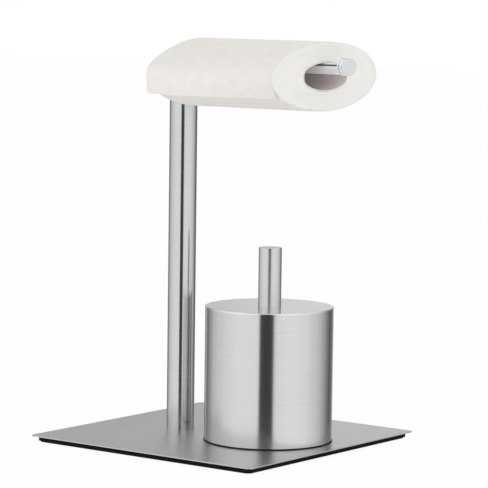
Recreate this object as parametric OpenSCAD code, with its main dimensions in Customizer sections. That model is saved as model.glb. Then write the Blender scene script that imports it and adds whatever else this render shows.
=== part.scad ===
// Toilet roll and brush stand: a square steel base, a round post with a side arm for a paper roll,
// and a round canister that holds a brush.
// The origin is the centre of the base's underside, on the floor. +X runs along the arm and +Z is up.

/* [Base] */
// Side of the square steel plate
plate_w = 260; // [220:1:320]
// Thickness of the steel plate
plate_t = 0.9; // [0.8:0.1:4]
// Radius of the plate's corners
plate_corner_r = 5; // [2:0.5:15]
// How far the plate overhangs the weight on each side
weight_inset = 4.5; // [1:0.5:12]
// Thickness of the weight under the plate
weight_t = 4.3; // [3.5:0.1:12]
// Thickness of the anti-slip mat
mat_t = 1.2; // [0.8:0.1:3]
// How far the mat stays inside the weight's edge
mat_inset = 1.5; // [0.5:0.5:6]

/* [Post] */
// Outer diameter of the post
post_d = 26.5; // [16:0.5:32]
// Wall of the post tube
post_wall = 1.2; // [0.8:0.1:2]
// Distance of the post from the middle of the plate
post_offset = 53; // [40:1:70]
// Height of the tube above the arm's axis
post_over_arm = 13; // [12:0.5:30]
// Thickness of the cap on the post
post_cap_t = 1.6; // [1:0.1:4]
// Depth of the cap's rim inside the tube
post_cap_depth = 3; // [1.5:0.5:4]
// Radius of the post cap's rounded edge
post_cap_edge_r = 0.6; // [0.2:0.1:0.9]
// Length of the plug in the post's foot
foot_plug_l = 20; // [16:1:40]
// Length of the plug in the post's head below its top
head_plug_l = 24; // [20:1:50]

/* [Post bolt] */
// Diameter of the bolt that holds the post
bolt_d = 8; // [6:0.5:10]
// Diameter of the bolt's flat head
bolt_head_d = 20; // [16:0.5:24]
// Thickness of the bolt's flat head
bolt_head_t = 1.8; // [1:0.1:2.2]
// Width across the flats of the bolt's key socket
bolt_key_w = 5; // [3:0.5:5]
// Depth of the bolt's key socket
bolt_key_depth = 3; // [1.5:0.1:6]
// Length of the bolt inside the foot plug
bolt_engage = 14; // [8:1:15]

/* [Arm] */
// Height of the arm's axis above the floor
arm_z = 355; // [340:1:700]
// Diameter of the arm
arm_d = 11; // [9:0.1:14]
// Reach from the post's axis to the outer face of the end stop
arm_reach = 191; // [185:1:230]
// Diameter of the arm's neck inside the post
arm_neck_d = 8; // [6:0.1:9]
// Depth of the neck past the post's axis
arm_neck_past = 4; // [1:0.5:8]
// Width of the end stop across the arm
stop_w = 25; // [22:0.5:30]
// Height of the end stop
stop_h = 16.4; // [16:0.1:20]
// Radius of the end stop's narrow ends
stop_end_r = 6.6; // [5:0.1:7.4]
// Thickness of the end stop
stop_t = 5; // [4:0.5:8]
// Thickness of the ring at the end stop's back
stop_back_t = 1.6; // [1:0.1:2]
// Width of the groove behind the end stop's front
stop_groove_w = 0.6; // [0.4:0.1:1]
// Depth of the groove behind the end stop's front
stop_groove_depth = 0.6; // [0.3:0.1:1]
// Width and depth of the step round the end stop's face
stop_step = 0.5; // [0.3:0.1:0.8]
// Height of the end stop's middle above the arm's axis
stop_raise = 2.5; // [0:0.1:2.7]
// Diameter of the stud that holds the end stop
stop_stud_d = 5; // [3:0.5:6]
// Length of the stud inside the arm
stop_stud_l = 9; // [5:1:20]
// Diameter of the grub screw that locks the arm
grub_d = 5; // [3:0.5:6]
// Length of the grub screw
grub_l = 4.5; // [3:0.5:5.5]
// Width across the flats of the grub screw's key socket
grub_key_w = 2.5; // [1.5:0.5:2.5]

/* [Paper roll] */
// Length of the roll along the arm
roll_l = 143; // [90:1:148]
// Width of the pressed roll
roll_w = 168; // [90:1:170]
// Height of the pressed roll
roll_h = 65; // [56:1:110]
// Gap between the post and the roll
roll_post_gap = 9; // [4:1:16]
// Width of the core's opening
core_w = 67; // [40:1:72]
// Height of the core's opening
core_h = 25.4; // [24:0.2:40]
// Thickness of the cardboard core
core_t = 0.9; // [0.6:0.1:2]
// Length of the free end of the paper below the roll's widest point
tail_l = 19; // [5:0.5:28]
// Thickness of the free end of the paper
tail_t = 0.8; // [0.5:0.1:1.5]
// Roundness of the pressed roll's ends against a true oval
oval_fullness = 1.6; // [1.2:0.05:1.8]

/* [Canister] */
// Outer diameter of the canister
can_d = 120; // [90:1:124]
// Height of the canister with its lid
can_h = 126; // [110:1:240]
// Distance of the canister's axis from the post's axis
can_offset = 105; // [85:1:110]
// Wall of the steel shell
can_wall = 0.8; // [0.6:0.1:2]
// Width of the shell's inturned rim
can_rim_w = 1.4; // [1:0.1:1.8]
// Height of the black foot ring
foot_ring_h = 1.2; // [1:0.1:6]
// How far the foot ring stands out past the shell
foot_ring_lip = 0.4; // [0.3:0.1:2]
// Thickness of the canister's floor
can_floor_t = 2.2; // [1.5:0.1:2.5]
// Height of the hollow below the floor
can_floor_raise = 0.8; // [0.4:0.1:0.8]
// Width of the ring that the canister stands on
foot_land_w = 9; // [6:0.5:14]
// Height of the collar that holds the shell
collar_h = 8; // [4:1:16]
// Thickness of the collar that holds the shell
collar_t = 2; // [1.2:0.1:3]
// Wall of the cup inside the canister
cup_wall = 1.6; // [1:0.1:3]
// Radius of the cup's lower corner
cup_corner_r = 6; // [3:0.5:9]
// Height of the cup's rim band
cup_rim_h = 2; // [1:0.5:4]

/* [Lid and grip] */
// Thickness of the lid
lid_t = 1.5; // [1:0.1:3]
// Radius of the lid's upper edge
lid_edge_r = 0.5; // [0.2:0.1:0.8]
// Thickness of the plate under the lid
seat_t = 1.8; // [1.2:0.1:3]
// Depth of the ring that centres the lid
seat_ring_h = 7; // [4:0.5:9]
// Wall of the ring that centres the lid
seat_ring_t = 2; // [1.2:0.1:3]
// Outer diameter of the grip
grip_d = 21.6; // [14:0.2:26]
// Length of the grip above the lid
grip_l = 55; // [40:1:56]
// Wall of the grip tube
grip_wall = 1.2; // [0.8:0.1:1.6]
// Thickness of the grip's end cap
grip_cap_t = 1.4; // [1:0.1:3]
// Chamfer round the grip's end cap
grip_cap_chamfer = 0.5; // [0.2:0.1:0.7]
// Length of the end cap inside the grip
grip_cap_depth = 5; // [2:0.5:10]
// Length of the threaded plug in the grip
grip_plug_l = 18; // [15:1:24]

/* [Brush] */
// Diameter of the brush stem
stem_d = 9; // [8:0.5:10]
// Diameter of the threaded ends of the stem
stud_d = 6; // [4:0.5:7]
// Length of the upper threaded end inside the grip
stud_engage = 13; // [8:1:14]
// Depth of the lower threaded end inside the brush hub
stud_depth = 14; // [8:1:18]
// Diameter of the brush hub
hub_d = 23; // [18:0.5:28]
// Height of the tapered neck on top of the hub
neck_h = 8; // [4:1:12]
// Length of the straight part of the hub
hub_l = 46; // [36:1:56]
// Diameter of the brush over its bristles
brush_d = 76; // [60:1:84]
// Length of the bristles on the underside
low_bristle_l = 15; // [10:1:16]
// Width of a bristle at its root
bristle_root_w = 1.1; // [0.8:0.05:1.3]
// Width of a bristle at its tip
bristle_tip_w = 0.7; // [0.5:0.05:0.8]
// Thickness of the sleeve that carries the bristles
sleeve_t = 1.2; // [0.8:0.1:2]

/* [Fits] */
// Clearance of plugs, studs and tubes that fit in each other
fit_gap = 0.05; // [0.03:0.01:0.1]
// Clearance between pieces that move past each other
run_gap = 0.3; // [0.2:0.05:0.5]
// Clearance round the lid's centring ring
seat_gap = 1.2; // [0.8:0.1:1.5]
// Clearance between the bristles and the cup's floor
brush_floor_gap = 4; // [1.5:0.5:5]

/* [Hidden] */
$fn = 96;

// A cutter reaches this far past the face that it opens.
over = 1;

// Heights of the base
mat_top = mat_t;
weight_top = mat_top + weight_t;
base_top = weight_top + plate_t;
// The bolt's head lies in a recess of the weight.
bolt_recess = bolt_head_t + run_gap;
bolt_seat_z = mat_top + bolt_recess;
bolt_top = base_top + bolt_engage;

// The post and its plugs
post_x = -post_offset;
post_bore = post_d - 2 * post_wall;
plug_d = post_bore - 2 * fit_gap;
post_top = arm_z + post_over_arm;
head_plug_top = post_top - post_cap_depth;
head_plug_bottom = head_plug_top - head_plug_l;

// The arm and its end stop
arm_tip_x = post_x + arm_reach;
arm_end_x = arm_tip_x - stop_t;
arm_neck_x = post_x - arm_neck_past;
grub_seat_z = arm_z + arm_neck_d / 2;

// The free sheet's outer face lies this far inside the roll's widest point, so that it leaves the roll cleanly.
tail_sink = 0.4;
// The arcs of a flat oval lap by this much, so that they cross instead of only touching.
arc_lap = 0.02;

// The roll hangs on the arm by the top of its core.
roll_x = post_x + post_d / 2 + roll_post_gap;
roll_z = arm_z + arm_d / 2 + run_gap - core_h / 2;

// The canister stands on the plate, and the cup stands in the canister.
can_x = post_x + can_offset;
can_z = base_top;
can_r = can_d / 2;
lid_bottom = can_z + can_h - lid_t;
lid_top = lid_bottom + lid_t;
shell_z = can_z + foot_ring_h;
shell_inner_r = can_r - can_wall;
collar_r = shell_inner_r - fit_gap;
floor_bottom = can_z + can_floor_raise;
floor_top = floor_bottom + can_floor_t;
cup_r = collar_r - collar_t - run_gap;
cup_bottom = floor_top;
cup_top = lid_bottom - seat_t - run_gap;
cup_inner_r = cup_r - cup_wall;
cup_floor_top = cup_bottom + cup_wall;
cup_rim_r = shell_inner_r - run_gap;

// The lid's seat reaches into the cup.
seat_bottom = lid_bottom - seat_t;
seat_plate_r = can_r - can_wall - can_rim_w - run_gap;
seat_ring_r = cup_inner_r - seat_gap;
grip_bore = grip_d - 2 * grip_wall;
grip_plug_d = grip_bore - 2 * fit_gap;
grip_top = lid_top + grip_l;
grip_tube_top = grip_top - grip_cap_t;

// The brush: the hub's dome sits above the underside's bristles.
hub_r = hub_d / 2;
sleeve_r = hub_r + fit_gap + sleeve_t;
dome_z = cup_floor_top + brush_floor_gap + low_bristle_l + sleeve_r;
hub_top = dome_z + hub_l;
stem_bottom = hub_top + neck_h;
side_bristle_l = brush_d / 2 - sleeve_r;

// Rows of bristles: straight rows on the hub's side, then rows that turn under its dome.
around = 34;
side_rows = 8;
dome_rows = 4;
dome_turn = 76;
rows = side_rows + dome_rows;
// A bristle takes up at most this share of its own cell on the sleeve.
cell_share = 0.62;

// A flat oval of four arcs, w wide and h high, with ends of radius r
module oval(w, h, r) {
    a = w / 2 - arc_lap;
    b = h / 2;
    big = (pow(a - r, 2) + pow(b, 2) - pow(r, 2)) / (2 * (b - r));
    join_x = (a - r) * big / (big - r);
    union() {
        intersection() {
            translate([0, b - big]) circle(r = big, $fn = 360);
            translate([0, big - b]) circle(r = big, $fn = 360);
            square([2 * join_x, 2 * h], center = true);
        }
        for (side = [-1, 1]) translate([side * (a - r), 0]) circle(r = r + arc_lap);
    }
}

// The end radius that makes four arcs look like a true oval
function oval_end_r(w, h) = oval_fullness * pow(h / 2, 2) / (w / 2);

// A round bar or cutter of diameter d that runs along +X from x0 to x1
module bar_x(d, x0, x1) {
    translate([x0, 0, 0]) rotate([0, 90, 0]) cylinder(d = d, h = x1 - x0);
}

// A square of side w with corners of radius r
module rounded_square(w, r) {
    square([w - 2 * r, w], center = true);
    square([w, w - 2 * r], center = true);
    for (x = [-1, 1], y = [-1, 1]) translate([x * (w / 2 - r), y * (w / 2 - r)]) circle(r = r);
}

// Half of a round body's section, with its lower outer corner rounded
module cup_section(r, h, corner) {
    square([r - corner, h]);
    translate([0, corner]) square([r, h - corner]);
    translate([r - corner, corner]) circle(r = corner);
}

// Half of a disc's section, with its upper outer edge rounded
module disc_section(r, t, edge) {
    square([r - edge, t]);
    square([r, t - edge]);
    translate([r - edge, t - edge]) circle(r = edge);
}

// A six-sided key socket of width w across its flats, open at the top
module key_socket(w, depth) {
    cylinder(d = w / cos(30), h = depth, $fn = 6);
}

module base_plate() {
    color("silver")
    difference() {
        translate([0, 0, weight_top]) linear_extrude(plate_t) rounded_square(plate_w, plate_corner_r);
        translate([post_x, 0, weight_top - over])
            cylinder(d = bolt_d + 2 * fit_gap, h = plate_t + 2 * over);
    }
}

module base_weight() {
    color("#1b1b1d")
    difference() {
        translate([0, 0, mat_top]) linear_extrude(weight_t)
            rounded_square(plate_w - 2 * weight_inset, plate_corner_r);
        translate([post_x, 0, mat_top - over])
            cylinder(d = bolt_d + 2 * fit_gap, h = weight_t + 2 * over);
        translate([post_x, 0, mat_top - over])
            cylinder(d = bolt_head_d + 2 * run_gap, h = bolt_recess + over);
    }
}

module anti_slip_mat() {
    color("#2a2a2c")
    difference() {
        linear_extrude(mat_t)
            rounded_square(plate_w - 2 * (weight_inset + mat_inset), plate_corner_r);
        translate([post_x, 0, -over])
            cylinder(d = bolt_head_d + 4 * run_gap, h = mat_t + 2 * over);
    }
}

module post_tube() {
    color("silver")
    difference() {
        translate([post_x, 0, base_top]) cylinder(d = post_d, h = post_top - base_top);
        translate([post_x, 0, base_top - over])
            cylinder(d = post_bore, h = post_top - base_top + 2 * over);
        translate([0, 0, arm_z])
            bar_x(arm_neck_d + 2 * fit_gap, post_x, post_x + post_d);
    }
}

module post_foot_plug() {
    color("gray")
    difference() {
        translate([post_x, 0, base_top]) cylinder(d = plug_d, h = foot_plug_l);
        translate([post_x, 0, base_top - over])
            cylinder(d = bolt_d + 2 * fit_gap, h = bolt_engage + 2 * over);
    }
}

module post_bolt() {
    color("dimgray")
    translate([post_x, 0, 0])
    difference() {
        union() {
            translate([0, 0, bolt_seat_z - bolt_head_t]) cylinder(d = bolt_head_d, h = bolt_head_t);
            translate([0, 0, bolt_seat_z - bolt_head_t])
                cylinder(d = bolt_d, h = bolt_top - bolt_seat_z + bolt_head_t);
        }
        translate([0, 0, bolt_seat_z - bolt_head_t - over])
            key_socket(bolt_key_w, bolt_key_depth + over);
    }
}

module post_head_plug() {
    color("gray")
    difference() {
        translate([post_x, 0, head_plug_bottom]) cylinder(d = plug_d, h = head_plug_l);
        translate([0, 0, arm_z])
            bar_x(arm_neck_d + 2 * fit_gap, arm_neck_x - fit_gap, post_x + post_d);
        translate([post_x, 0, arm_z])
            cylinder(d = grub_d + 2 * fit_gap, h = head_plug_top - arm_z + over);
    }
}

module arm_grub_screw() {
    color("dimgray")
    translate([post_x, 0, grub_seat_z])
    difference() {
        cylinder(d = grub_d, h = grub_l);
        translate([0, 0, grub_l / 2]) key_socket(grub_key_w, grub_l);
    }
}

module post_cap() {
    color("silver")
    translate([post_x, 0, post_top]) {
        rotate_extrude() disc_section(post_d / 2, post_cap_t, post_cap_edge_r);
        translate([0, 0, -post_cap_depth]) cylinder(d = plug_d, h = post_cap_depth);
    }
}

module arm_bar() {
    color("gainsboro")
    difference() {
        translate([0, 0, arm_z]) {
            difference() {
                bar_x(arm_d, post_x, arm_end_x);
                translate([post_x, 0, -post_d]) cylinder(d = post_d + 2 * fit_gap, h = 2 * post_d);
            }
            bar_x(arm_neck_d, arm_neck_x, post_x + post_d);
        }
        translate([0, 0, arm_z])
            bar_x(stop_stud_d + 2 * fit_gap, arm_end_x - stop_stud_l - fit_gap, arm_end_x + over);
    }
}

// Stands an outline in the plane across the arm at height z, and draws it along the arm from x0 for a length l
module along_arm(x0, l, z) {
    translate([x0, 0, z]) rotate([90, 0, 90]) linear_extrude(l) children();
}

// The end stop's outline, drawn in by an inset all round
module stop_outline(inset) {
    oval(stop_w - 2 * inset, stop_h - 2 * inset, stop_end_r - inset);
}

// A back ring, a groove and a stepped front. The groove's core and the raised face reach into the front.
module arm_end_stop() {
    z = arm_z + stop_raise;
    front_x = arm_end_x + stop_back_t + stop_groove_w;
    step_x = arm_tip_x - stop_step;
    reach = (step_x - front_x) / 3;
    core_x = arm_end_x + stop_back_t / 2;
    color("gainsboro") {
        along_arm(arm_end_x, stop_back_t, z) stop_outline(0);
        along_arm(core_x, front_x + reach - core_x, z) stop_outline(stop_groove_depth);
        along_arm(front_x, step_x - front_x, z) stop_outline(0);
        along_arm(step_x - reach, stop_step + reach, z) stop_outline(stop_step);
        translate([0, 0, arm_z]) bar_x(stop_stud_d, arm_end_x - stop_stud_l, front_x + reach / 2);
    }
}

module roll_core() {
    color("tan")
    difference() {
        along_arm(roll_x, roll_l, roll_z)
            oval(core_w + 2 * core_t, core_h + 2 * core_t, oval_end_r(core_w, core_h) + core_t);
        along_arm(roll_x - over, roll_l + 2 * over, roll_z) oval(core_w, core_h, oval_end_r(core_w, core_h));
    }
}

// The last sheet leaves the roll at its widest point and hangs straight down.
module paper_roll() {
    hole = core_t + fit_gap;
    color("#efece6")
    difference() {
        along_arm(roll_x, roll_l, roll_z) {
            oval(roll_w, roll_h, oval_end_r(roll_w, roll_h));
            translate([tail_sink - roll_w / 2, -tail_l]) square([tail_t, tail_l]);
        }
        along_arm(roll_x - over, roll_l + 2 * over, roll_z)
            oval(core_w + 2 * hole, core_h + 2 * hole, oval_end_r(core_w, core_h) + hole);
    }
}

// Turns half of a section round the canister's axis
module on_canister(z) {
    translate([can_x, 0, z]) rotate_extrude() children();
}

module canister_shell() {
    h = lid_bottom - shell_z;
    color("silver")
    on_canister(shell_z) {
        translate([shell_inner_r, 0]) square([can_wall, h]);
        translate([shell_inner_r - can_rim_w, h - can_wall]) square([can_rim_w + can_wall, can_wall]);
    }
}

module canister_base() {
    color("#18181a")
    on_canister(can_z)
    difference() {
        union() {
            square([can_r + foot_ring_lip, foot_ring_h]);
            square([collar_r, foot_ring_h + collar_h]);
        }
        translate([-over, can_floor_raise + can_floor_t])
            square([collar_r - collar_t + over, foot_ring_h + collar_h]);
        translate([-over, -over]) square([can_r - foot_land_w + over, can_floor_raise + over]);
    }
}

module liner_cup() {
    color("#303033")
    on_canister(cup_bottom) {
        difference() {
            cup_section(cup_r, cup_top - cup_bottom, cup_corner_r);
            translate([0, cup_wall])
                cup_section(cup_inner_r, cup_top - cup_bottom, cup_corner_r - cup_wall);
            translate([-cup_corner_r, -over]) square([cup_corner_r, cup_top]);
        }
        translate([cup_inner_r, cup_top - cup_bottom - cup_rim_h - can_rim_w])
            square([cup_rim_r - cup_inner_r, cup_rim_h]);
    }
}

module lid_disc() {
    color("silver")
    on_canister(lid_bottom)
    difference() {
        disc_section(can_r, lid_t, lid_edge_r);
        translate([-over, -over]) square([stud_d / 2 + fit_gap + over, lid_t + 2 * over]);
    }
}

module lid_seat() {
    stud_hole = stud_d / 2 + fit_gap;
    color("#18181a")
    on_canister(seat_bottom) {
        translate([stud_hole, 0]) square([seat_plate_r - stud_hole, seat_t]);
        translate([seat_ring_r - seat_ring_t, -seat_ring_h]) square([seat_ring_t, seat_ring_h]);
    }
}

module grip_tube() {
    color("silver")
    translate([can_x, 0, lid_top])
    difference() {
        cylinder(d = grip_d, h = grip_tube_top - lid_top);
        translate([0, 0, -over]) cylinder(d = grip_bore, h = grip_tube_top - lid_top + 2 * over);
    }
}

module grip_end_cap() {
    straight = grip_cap_t - grip_cap_chamfer;
    color("silver")
    translate([can_x, 0, grip_tube_top]) {
        cylinder(d = grip_d, h = straight);
        translate([0, 0, straight])
            cylinder(d1 = grip_d, d2 = grip_d - 2 * grip_cap_chamfer, h = grip_cap_chamfer);
        translate([0, 0, -grip_cap_depth]) cylinder(d = grip_plug_d, h = grip_cap_depth);
    }
}

module grip_plug() {
    color("gray")
    translate([can_x, 0, lid_top])
    difference() {
        cylinder(d = grip_plug_d, h = grip_plug_l);
        translate([0, 0, -over]) cylinder(d = stud_d + 2 * fit_gap, h = stud_engage + 2 * over);
    }
}

module brush_stem() {
    color("whitesmoke")
    translate([can_x, 0, 0]) {
        translate([0, 0, stem_bottom]) cylinder(d = stem_d, h = seat_bottom - stem_bottom);
        translate([0, 0, stem_bottom - stud_depth])
            cylinder(d = stud_d, h = lid_top + stud_engage - stem_bottom + stud_depth);
    }
}

module brush_hub() {
    color("white")
    translate([can_x, 0, 0])
    difference() {
        union() {
            translate([0, 0, dome_z]) sphere(r = hub_r);
            translate([0, 0, dome_z]) cylinder(r = hub_r, h = hub_l);
            translate([0, 0, hub_top]) cylinder(r1 = hub_r, d2 = stem_d + 2 * sleeve_t, h = neck_h);
        }
        translate([0, 0, stem_bottom - stud_depth - fit_gap])
            cylinder(d = stud_d + 2 * fit_gap, h = stud_depth + over);
    }
}

// The sleeve's outline for grid line k: [distance from the hub's axis, height, angle below level]
function sleeve_line(k, r) =
    k <= side_rows
    ? [r, hub_top - k * hub_l / side_rows, 0]
    : let (turn = (k - side_rows) * dome_turn / dome_rows) [r * cos(turn), dome_z - r * sin(turn), turn];

// Points on the sleeve, where each line is turned by half a bristle so that the rows are staggered
function sleeve_angle(j, k) = (j + k / 2) * 360 / around;
function sleeve_point(j, k, r) =
    let (line = sleeve_line(k, r), angle = sleeve_angle(j, k))
    [line[0] * cos(angle), line[0] * sin(angle), line[1]];

// The corners of a bristle's section, w wide, at a distance d out from the middle of cell j, k
function bristle_ring(j, k, w, d) =
    let (
        line = sleeve_line(k + 0.5, sleeve_r + d),
        turn = line[2],
        angle = sleeve_angle(j + 0.5, k + 0.5),
        side = [-sin(angle), cos(angle), 0],
        down = [-sin(turn) * cos(angle), -sin(turn) * sin(angle), -cos(turn)],
        middle = [line[0] * cos(angle), line[0] * sin(angle), line[1]]
    )
    [for (c = [[-1, -1], [1, -1], [1, 1], [-1, 1]]) middle + (c[0] * side + c[1] * down) * w / 2];

// Bristles get shorter and thinner as their row turns under the dome.
function bristle_l(k) =
    let (turn = sleeve_line(k + 0.5, sleeve_r)[2])
    side_bristle_l + (low_bristle_l - side_bristle_l) * sin(turn);
function cell_w(k) = 2 * PI * sleeve_line(k + 0.5, sleeve_r)[0] / around;
function root_w(k) = min(bristle_root_w, cell_share * cell_w(k));

// One closed surface: an outer grid whose every cell grows a bristle, and a smooth inner grid
module bristles() {
    inner_r = (hub_r + fit_gap) / cos(180 / around) / cos(dome_turn / dome_rows / 2);
    outer = [for (k = [0:rows], j = [0:around - 1]) sleeve_point(j, k, sleeve_r)];
    inner = [for (k = [0:rows], j = [0:around - 1]) sleeve_point(j, k, inner_r)];
    hair = [
        for (k = [0:rows - 1], j = [0:around - 1])
            for (p = concat(
                bristle_ring(j, k, root_w(k), 0),
                bristle_ring(j, k, bristle_tip_w * root_w(k) / bristle_root_w, bristle_l(k))
            )) p
    ];
    line = around;
    inner_start = (rows + 1) * line;
    hair_start = 2 * inner_start;
    function at(j, k) = k * line + j % line;
    function cell(j, k) = [at(j, k), at(j + 1, k), at(j + 1, k + 1), at(j, k + 1)];
    function quad(a, b, c, d) = [[a, b, c], [a, c, d]];
    faces = [
        for (k = [0:rows - 1], j = [0:around - 1])
            let (root = hair_start + 8 * (k * line + j), c = cell(j, k))
            each concat(
                [for (i = [0:3]) each quad(c[i], root + i, root + (i + 1) % 4, c[(i + 1) % 4])],
                [for (i = [0:3]) each quad(root + i, root + 4 + i, root + 4 + (i + 1) % 4, root + (i + 1) % 4)],
                quad(root + 4, root + 7, root + 6, root + 5)
            ),
        for (k = [0:rows - 1], j = [0:around - 1])
            let (c = cell(j, k))
            each quad(
                inner_start + c[1], inner_start + c[2], inner_start + c[3], inner_start + c[0]
            ),
        for (j = [0:around - 1])
            each quad(at(j, 0), at(j + 1, 0), inner_start + at(j + 1, 0), inner_start + at(j, 0)),
        for (j = [0:around - 1])
            each quad(
                at(j, rows), inner_start + at(j, rows), inner_start + at(j + 1, rows), at(j + 1, rows)
            )
    ];
    color("#f4f4f2")
    translate([can_x, 0, 0]) polyhedron(points = concat(outer, inner, hair), faces = faces, convexity = 12);
}

base_plate();
base_weight();
anti_slip_mat();
post_tube();
post_foot_plug();
post_bolt();
post_head_plug();
arm_grub_screw();
post_cap();
arm_bar();
arm_end_stop();
roll_core();
paper_roll();
canister_shell();
canister_base();
liner_cup();
lid_disc();
lid_seat();
grip_tube();
grip_end_cap();
grip_plug();
brush_stem();
brush_hub();
bristles();
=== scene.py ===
"""Looks for the toilet roll and brush stand: materials, a wound paper roll, fine bristles, light and camera."""

import bisect
import math
import random

import bpy
from mathutils import Matrix, Vector, noise

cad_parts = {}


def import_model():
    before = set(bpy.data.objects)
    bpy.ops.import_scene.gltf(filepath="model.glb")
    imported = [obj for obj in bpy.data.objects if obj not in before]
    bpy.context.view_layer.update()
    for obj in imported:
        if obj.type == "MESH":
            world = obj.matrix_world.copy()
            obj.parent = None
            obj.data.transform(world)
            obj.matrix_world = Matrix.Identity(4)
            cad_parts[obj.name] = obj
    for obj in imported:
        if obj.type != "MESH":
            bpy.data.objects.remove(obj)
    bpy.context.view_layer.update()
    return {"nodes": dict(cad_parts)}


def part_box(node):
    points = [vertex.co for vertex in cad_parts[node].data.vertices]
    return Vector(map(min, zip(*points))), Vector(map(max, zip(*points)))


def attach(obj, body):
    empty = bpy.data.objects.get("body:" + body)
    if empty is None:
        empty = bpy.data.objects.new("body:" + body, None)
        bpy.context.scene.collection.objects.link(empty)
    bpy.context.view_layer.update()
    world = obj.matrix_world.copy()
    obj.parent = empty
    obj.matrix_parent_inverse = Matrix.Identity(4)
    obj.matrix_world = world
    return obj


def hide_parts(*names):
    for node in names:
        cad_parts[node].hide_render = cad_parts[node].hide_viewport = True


MM = 0.001

# The camera stands this far round from -Y towards +X, this much above a point on the origin's vertical and this far
# from it. It is rolled a little, and aims a little to the side of that point.
CAMERA_AZIMUTH = math.radians(37.6)
CAMERA_PITCH = math.radians(5.745)
CAMERA_ROLL = math.radians(0.744)
CAMERA_DISTANCE = 2.4814
CAMERA_AIM_Z = 0.187
CAMERA_AIM_SIDE = 0.0168
CAMERA_LENS = 194.1
CAMERA_CLIP_END = 50
SENSOR_WIDTH = 36.0

# Each lamp's name, place, aim, width and power.
LAMPS = (
    ("key", (2.6, -0.8, 1.15), (0.1, 0, 0.34), 1.0, 13),
    ("fill", (-0.9, -2.6, 0.35), (0, 0, 0.3), 1.6, 0.8),
    ("bounce", (-0.45, -0.60, 0.03), (0.05, -0.05, 0.34), 0.6, 1.6),
)
WHITE = (1, 1, 1, 1)
AMBIENT_COLOUR = (0.98, 0.99, 1.0, 1)
AMBIENT_STRENGTH = 0.83

# The floor is a square. Where it is seen, this share of it is plain white.
FLOOR_REACH = 9.0
FLOOR_DROP = 0.2 * MM
FLOOR_WHITE_SHARE = 0.95

# The studio cards are a ring round the object that only shows in the metal. A stop is an angle in degrees, from the
# camera's side round the object, and how bright the ring is there.
CARD_RADIUS = 3.6
CARD_HEIGHTS = (-6.0, 2.6)
CARD_COLUMNS = 96
CARD_STOPS = (
    (-180, 0.60), (-178, 0.47), (-166, 0.42), (-153, 0.26), (-143, 0.22), (-129, 0.42), (-117, 0.66),
    (-99, 0.80), (-77, 0.92), (-60, 0.99), (-22, 0.98), (-18.5, 0.88), (-15.5, 0.075), (-4, 0.055),
    (6, 0.07), (9.5, 0.80), (15, 0.96), (40, 1.00), (65, 0.95), (88, 0.79), (104, 0.63),
    (115, 0.45), (125, 0.265), (137, 0.13), (152, 0.22), (164, 0.55), (178, 0.70), (180, 0.60),
)

# Most of a noise texture's values lie in this range.
NOISE_RANGE = (0.3, 0.7)
FULL_RANGE = (0.0, 1.0)
# Brush marks are a noise stretched along the marks: cycles per metre along each axis, or per metre of radius and per
# radian on a lathe-turned face.
MARKS = {"around": (14, 14, 2600), "along": (9, 1900, 1900)}
TURNED_MARKS = (2200.0, 0.7)
# How far the roughness swings to both sides of its middle value.
BRUSHED_SWING = 0.06
PLATING_SWING = 0.03
GRAINY_SWING = 0.08
# The darkest worn place of a plating, as a share of its tint.
PLATING_WEAR = 0.945

# Painted reflections and painted shade on the arm: dark stripes painted above its side and underneath in place of
# mirrored ones, by how far the surface looks up, from -1 to 1, and the share of its brightness there.
ARM_PAINTED_REFLECTION_LINES = (
    (-1.0, 0.10), (-0.93, 0.15), (-0.80, 1.0), (0.44, 1.0), (0.60, 0.06), (0.76, 0.04), (0.86, 1.0), (1.0, 1.0),
)
# Where the end stop's groove starts and ends, from the arm's end, and the painted shade that darkens it. A face that
# looks along the arm by more than this is satin.
STOP_GROOVE = (1.6 * MM, 2.2 * MM)
GROOVE_PAINTED_SHADE = (0.03, 0.03, 0.03)
STOP_FACE = 0.7
# The seams of the core's winding: how fast they come round along X and Y, and each one's share of the board.
SEAM_SLANT = (16.0, 9.0)
SEAM_SHARE = 0.06

# How much fuller than an ellipse the roll is in its quarters: far top, near top, far bottom, near bottom.
POST_END_FULLNESS = (0.22, -0.36, 0.0, 0.0)
OPEN_END_FULLNESS = (0.22, -0.20, 0.0, 0.0)
OUTLINE_STEPS = 1440
# The core's outline: the radius of its ends against an ellipse's, and how far the paper stays off it.
CORE_FULLNESS = 1.6
CORE_PLAY = 0.4 * MM

# The roll's side: its grid, its soft rims, how far it stays in the solid, and its dents' depth and number per metre.
ROLL_COLUMNS = 320
SIDE_STEPS = 40
RIM_RADIUS = 2.6 * MM
RIM_STEPS = 5
SIDE_INSET = 0.25 * MM
SIDE_DENTS = ((0.22 * MM, 38.0), (0.10 * MM, 140.0))
# The roll's ends: rings from the rim to the core, the paper's depth, and the steps between its layers, which grow to
# their full size over this share of the way and change from the rim to the core and slowly round the roll.
END_RINGS = 56
END_DEPTH = 0.045
LAYER_STEP = 0.16 * MM
LAYER_FADE = 1 / 12
LAYER_WAVES = 26.0
LAYER_TURNS = 3.5
# The shallow hollow of each end, and the share of the way to the core that it takes.
END_HOLLOW = 0.5 * MM
HOLLOW_SHARE = 1 / 1.15

# The free sheet: its grid, its thickness and how far its sides stay inside the roll's ends.
SHEET_COLUMNS = 120
SHEET_ROWS = 170
SHEET_THICKNESS = 0.25 * MM
SHEET_MARGIN = 0.25 * MM
# It lies on the roll over this share of the outline. It starts sunk in the roll, rises over a share of the lap, is
# rippled, and bends down over the rim in the last part of its width, except close to the tail. Ripples, waves and
# tears have a depth and a number per metre.
SHEET_LAP = 0.30
SHEET_SUNK = 1.0 * MM
SHEET_RISE = 0.85 * MM
RISE_SHARE = 0.25
SHEET_RIPPLE = (0.10 * MM, 60.0)
RIM_BEND = 0.9 * MM
RIM_SHARE = 0.05
TAIL_CLEAR = 12 * MM
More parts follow.
